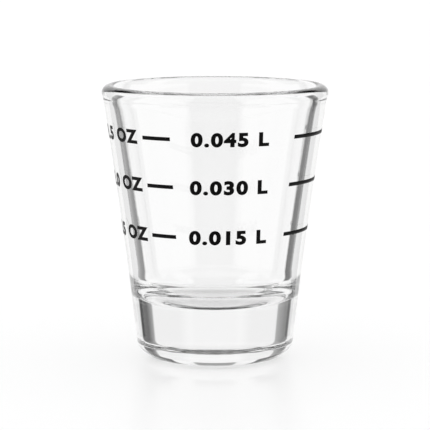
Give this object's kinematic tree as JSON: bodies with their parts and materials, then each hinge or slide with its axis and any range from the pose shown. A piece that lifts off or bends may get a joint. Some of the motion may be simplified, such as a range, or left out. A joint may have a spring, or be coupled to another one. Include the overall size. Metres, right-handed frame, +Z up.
{
  "type": "measuring shot glass",
  "caption": "Small clear measuring glass for an espresso or a spirit measure, with a thick solid foot, a gently flared wall, a rolled rim and a printed black volume scale.",
  "frame": {"origin": "the middle of the flat underside, on the surface that the glass stands on", "axes": "+Z up along the glass's turning axis. -Y is the side with the litre column of the printed scale, and +X is to the right of it"},
  "size_m": [0.0538, 0.0538, 0.0654],
  "materials": {
    "clear_glass": "polished",
    "black_print": "satin"
  },
  "bodies": {
    "root": {"glass": "clear_glass"}
  },
  "joints": []
}
